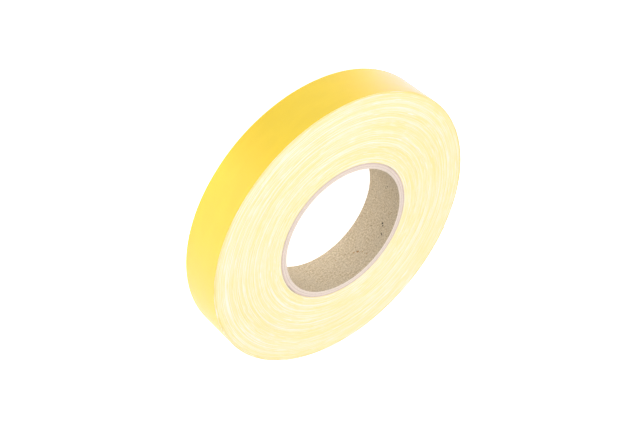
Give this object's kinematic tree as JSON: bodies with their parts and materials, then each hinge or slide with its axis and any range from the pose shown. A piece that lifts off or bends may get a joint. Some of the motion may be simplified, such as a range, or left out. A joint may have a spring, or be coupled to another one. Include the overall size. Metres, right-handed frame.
{
  "type": "cloth tape roll",
  "caption": "Roll of yellow cloth-backed electrical tape wound on a spiral-wound paper core, with a free tape end that lifts off the roll.",
  "frame": {"origin": "centre of the roll's lower end face", "axes": "+Z along the winding axis, up from the lower end face; the tape is wound outward anticlockwise seen from +Z, and its free end lies at 225 to 253 degrees from +X"},
  "size_m": [0.1657, 0.1655, 0.025],
  "materials": {
    "recycled_board": "uncoated grey-brown recycled board with flecks",
    "core_board": "cut paper plies",
    "white_liner": "pale smooth liner paper",
    "yellow_cloth_tape": "semi-matt plastic coating on woven cloth, with pale cut edges"
  },
  "bodies": {
    "roll": {"core_inner_liner": "recycled_board", "core_ply_1": "core_board", "core_ply_2": "core_board", "core_ply_3": "core_board", "core_ply_4": "core_board", "core_ply_5": "core_board", "core_ply_6": "core_board", "core_outer_liner": "white_liner", "tape_inner_turns": "yellow_cloth_tape", "tape_mid_inner_turns": "yellow_cloth_tape", "tape_middle_turns": "yellow_cloth_tape", "tape_mid_outer_turns": "yellow_cloth_tape", "tape_outer_turns": "yellow_cloth_tape", "tape_last_turn": "yellow_cloth_tape"},
    "end_1": {"tape_end_1": "yellow_cloth_tape"},
    "end_2": {"tape_end_2": "yellow_cloth_tape"},
    "end_3": {"tape_end_3": "yellow_cloth_tape"},
    "end_4": {"tape_end_4": "yellow_cloth_tape"},
    "end_5": {"tape_end_5": "yellow_cloth_tape"},
    "end_6": {"tape_end_6": "yellow_cloth_tape"},
    "end_7": {"tape_end_7": "yellow_cloth_tape"},
    "end_8": {"tape_end_8": "yellow_cloth_tape"}
  },
  "joints": [
    {"name": "peel_1", "type": "hinge", "parent": "roll", "child": "end_1", "pos_m": [-0.05866, -0.05866, 0.0125], "axis": [0, 0, -1], "range_deg": [0, 17.5]},
    {"name": "peel_2", "type": "hinge", "parent": "end_1", "child": "end_2", "pos_m": [-0.05501, -0.0621, 0.0125], "axis": [0, 0, -1], "range_deg": [0, 17.5]},
    {"name": "peel_3", "type": "hinge", "parent": "end_2", "child": "end_3", "pos_m": [-0.05116, -0.06531, 0.0125], "axis": [0, 0, -1], "range_deg": [0, 17.5]},
    {"name": "peel_4", "type": "hinge", "parent": "end_3", "child": "end_4", "pos_m": [-0.04712, -0.06829, 0.0125], "axis": [0, 0, -1], "range_deg": [0, 17.5]},
    {"name": "peel_5", "type": "hinge", "parent": "end_4", "child": "end_5", "pos_m": [-0.04291, -0.07101, 0.0125], "axis": [0, 0, -1], "range_deg": [0, 17.5]},
    {"name": "peel_6", "type": "hinge", "parent": "end_5", "child": "end_6", "pos_m": [-0.03854, -0.07348, 0.0125], "axis": [0, 0, -1], "range_deg": [0, 17.5]},
    {"name": "peel_7", "type": "hinge", "parent": "end_6", "child": "end_7", "pos_m": [-0.03403, -0.07568, 0.0125], "axis": [0, 0, -1], "range_deg": [0, 17.5]},
    {"name": "peel_8", "type": "hinge", "parent": "end_7", "child": "end_8", "pos_m": [-0.0294, -0.0776, 0.0125], "axis": [0, 0, -1], "range_deg": [0, 17.5]}
  ],
  "couplings": [
    {"joint": "peel_2", "follows": "peel_1", "ratio": 1},
    {"joint": "peel_3", "follows": "peel_1", "ratio": 1},
    {"joint": "peel_4", "follows": "peel_1", "ratio": 1},
    {"joint": "peel_5", "follows": "peel_1", "ratio": 1},
    {"joint": "peel_6", "follows": "peel_1", "ratio": 1},
    {"joint": "peel_7", "follows": "peel_1", "ratio": 1},
    {"joint": "peel_8", "follows": "peel_1", "ratio": 1}
  ]
}
